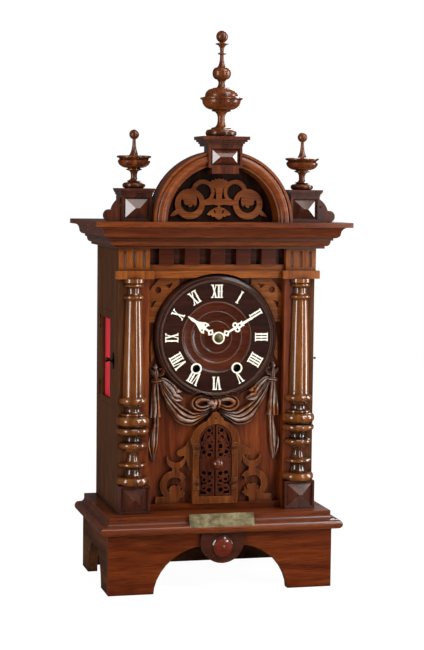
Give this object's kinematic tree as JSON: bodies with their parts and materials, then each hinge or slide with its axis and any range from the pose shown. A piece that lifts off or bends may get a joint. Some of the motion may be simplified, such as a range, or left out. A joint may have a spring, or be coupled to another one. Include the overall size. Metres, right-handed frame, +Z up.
{
  "type": "trumpeter mantel clock",
  "caption": "Tall carved walnut mantel clock with split columns, turned finials, a bone-inlaid dial and a trumpeter's stage behind a pair of small doors.",
  "frame": {"origin": "centre of the bounding box on the surface the clock stands on", "axes": "+X right seen from the front, +Y to the back, +Z up"},
  "size_m": [0.4208, 0.2492, 0.9],
  "materials": {
    "walnut": "polished",
    "dark_walnut": "polished",
    "light_walnut": "polished",
    "bone": "bone",
    "brass": "satin",
    "iron": "blackened",
    "silk": "silk",
    "leather": "thin bellows leather",
    "painted_wood": "painted"
  },
  "bodies": {
    "case": {"front_apron": "walnut", "apron_returns": "dark_walnut", "plinth_moulding": "walnut", "apron_boss": "walnut", "plaque": "brass", "side_panels": "dark_walnut", "front_board": "walnut", "bottom_rail": "walnut", "columns": "light_walnut", "column_pedestals": "walnut", "capital_blocks": "walnut", "frieze": "walnut", "cornice": "walnut", "arch_hood": "walnut", "tympanum_board": "dark_walnut", "tympanum_fret": "light_walnut", "keystone": "walnut", "top_pedestals": "walnut", "finial_center": "light_walnut", "side_finials": "light_walnut", "dial_plate": "dark_walnut", "dial_marks": "bone", "spandrel_frets": "light_walnut", "drapery_left": "dark_walnut", "drapery_right": "dark_walnut", "drapery_bow": "dark_walnut", "door_surround": "light_walnut", "back_frame": "dark_walnut", "movement_frame": "brass", "figure_stage": "dark_walnut", "wind_chest": "walnut", "trumpets": "brass", "trumpeter": "painted_wood", "bellows_leather": "leather"},
    "minute": {"minute_hand": "bone", "centre_wheel": "brass"},
    "hour": {"hour_hand": "bone", "hour_wheel": "brass"},
    "motion_wheel": {"motion_wheel": "brass"},
    "third_wheel": {"third_wheel": "brass"},
    "escape_wheel": {"escape_wheel": "brass"},
    "anchor": {"anchor": "iron"},
    "pendulum": {"pendulum": "brass"},
    "going_barrel": {"going_barrel": "brass"},
    "strike_barrel": {"strike_barrel": "brass"},
    "strike_wheel": {"strike_wheel": "brass"},
    "fly": {"fly": "brass"},
    "door_left": {"door_left": "light_walnut"},
    "door_right": {"door_right": "light_walnut"},
    "side_door_left": {"side_door_left": "dark_walnut", "silk_left": "silk"},
    "side_door_right": {"side_door_right": "dark_walnut", "silk_right": "silk"},
    "side_latch_left": {"side_latch_left": "iron"},
    "side_latch_right": {"side_latch_right": "iron"},
    "rear_door": {"rear_door": "dark_walnut"},
    "rear_latch": {"rear_latch": "brass"},
    "trumpet_arm": {"trumpet_arm": "brass"},
    "bellows_board": {"bellows_board": "walnut"},
    "music_barrel": {"music_barrel": "light_walnut"}
  },
  "joints": [
    {"name": "minute_spin", "type": "hinge", "parent": "case", "child": "minute", "pos_m": [0, 0, 0.408], "axis": [0, 1, 0], "continuous": true},
    {"name": "hour_spin", "type": "hinge", "parent": "case", "child": "hour", "pos_m": [0, 0, 0.408], "axis": [0, 1, 0], "continuous": true},
    {"name": "motion_spin", "type": "hinge", "parent": "case", "child": "motion_wheel", "pos_m": [0.0252, 0, 0.408], "axis": [0, 1, 0], "continuous": true},
    {"name": "third_spin", "type": "hinge", "parent": "case", "child": "third_wheel", "pos_m": [-0.0249, 0, 0.4329], "axis": [0, 1, 0], "continuous": true},
    {"name": "escape_spin", "type": "hinge", "parent": "case", "child": "escape_wheel", "pos_m": [0, 0, 0.44409], "axis": [0, 1, 0], "continuous": true},
    {"name": "going_spin", "type": "hinge", "parent": "case", "child": "going_barrel", "pos_m": [-0.034, 0, 0.3575], "axis": [0, 1, 0], "continuous": true},
    {"name": "strike_spin", "type": "hinge", "parent": "case", "child": "strike_barrel", "pos_m": [0.034, 0, 0.3575], "axis": [0, 1, 0], "continuous": true},
    {"name": "strike_wheel_spin", "type": "hinge", "parent": "case", "child": "strike_wheel", "pos_m": [0.06511, 0, 0.38861], "axis": [0, 1, 0], "continuous": true},
    {"name": "fly_spin", "type": "hinge", "parent": "case", "child": "fly", "pos_m": [0.05581, 0, 0.41417], "axis": [0, 1, 0], "continuous": true},
    {"name": "pendulum_swing", "type": "hinge", "parent": "case", "child": "pendulum", "pos_m": [0, 0.043, 0.46809], "axis": [0, 1, 0], "range_deg": [-4, 4]},
    {"name": "anchor_rock", "type": "hinge", "parent": "case", "child": "anchor", "pos_m": [0, 0, 0.46809], "axis": [0, 1, 0], "range_deg": [-4, 4]},
    {"name": "door_right_hinge", "type": "hinge", "parent": "case", "child": "door_right", "pos_m": [0.0291, -0.064, 0.197], "axis": [0, 0, 1], "range_deg": [0, 100]},
    {"name": "door_left_hinge", "type": "hinge", "parent": "case", "child": "door_left", "pos_m": [-0.0291, -0.064, 0.197], "axis": [0, 0, -1], "range_deg": [0, 100]},
    {"name": "side_door_right_hinge", "type": "hinge", "parent": "case", "child": "side_door_right", "pos_m": [0.1649, 0.0882, 0.369], "axis": [0, 0, 1], "range_deg": [0, 100]},
    {"name": "side_door_left_hinge", "type": "hinge", "parent": "case", "child": "side_door_left", "pos_m": [-0.1649, 0.0882, 0.369], "axis": [0, 0, -1], "range_deg": [0, 100]},
    {"name": "side_latch_right_turn", "type": "hinge", "parent": "case", "child": "side_latch_right", "pos_m": [0.1637, -0.0334, 0.369], "axis": [1, 0, 0], "range_deg": [0, 90]},
    {"name": "side_latch_left_turn", "type": "hinge", "parent": "case", "child": "side_latch_left", "pos_m": [-0.1637, -0.0334, 0.369], "axis": [1, 0, 0], "range_deg": [0, 90]},
    {"name": "rear_door_hinge", "type": "hinge", "parent": "case", "child": "rear_door", "pos_m": [-0.1098, 0.1222, 0.34], "axis": [0, 0, 1], "range_deg": [0, 100]},
    {"name": "rear_latch_turn", "type": "hinge", "parent": "case", "child": "rear_latch", "pos_m": [0.116, 0.1216, 0.34], "axis": [0, 1, 0], "range_deg": [0, 90]},
    {"name": "trumpet_raise", "type": "hinge", "parent": "case", "child": "trumpet_arm", "pos_m": [0, 0.002, 0.201], "axis": [-1, 0, 0], "range_deg": [0, 50]},
    {"name": "bellows_press", "type": "hinge", "parent": "case", "child": "bellows_board", "pos_m": [-0.106, 0.024, 0.1395], "axis": [1, 0, 0], "range_deg": [0, 17], "stiffness_Nm_per_rad": 0.05, "springref_deg": -11.46, "deforming": ["bellows_leather"]},
    {"name": "music_spin", "type": "hinge", "parent": "case", "child": "music_barrel", "pos_m": [0.105, 0, 0.19], "axis": [1, 0, 0], "continuous": true}
  ],
  "couplings": [
    {"joint": "hour_spin", "follows": "minute_spin", "ratio": 0.083333},
    {"joint": "motion_spin", "follows": "minute_spin", "ratio": -0.33333},
    {"joint": "third_spin", "follows": "minute_spin", "ratio": -10},
    {"joint": "escape_spin", "follows": "minute_spin", "ratio": 120},
    {"joint": "going_spin", "follows": "minute_spin", "ratio": -0.16667},
    {"joint": "strike_wheel_spin", "follows": "strike_spin", "ratio": -7.8},
    {"joint": "fly_spin", "follows": "strike_spin", "ratio": 58.5},
    {"joint": "anchor_rock", "follows": "pendulum_swing", "ratio": 1},
    {"joint": "door_left_hinge", "follows": "door_right_hinge", "ratio": 1}
  ]
}
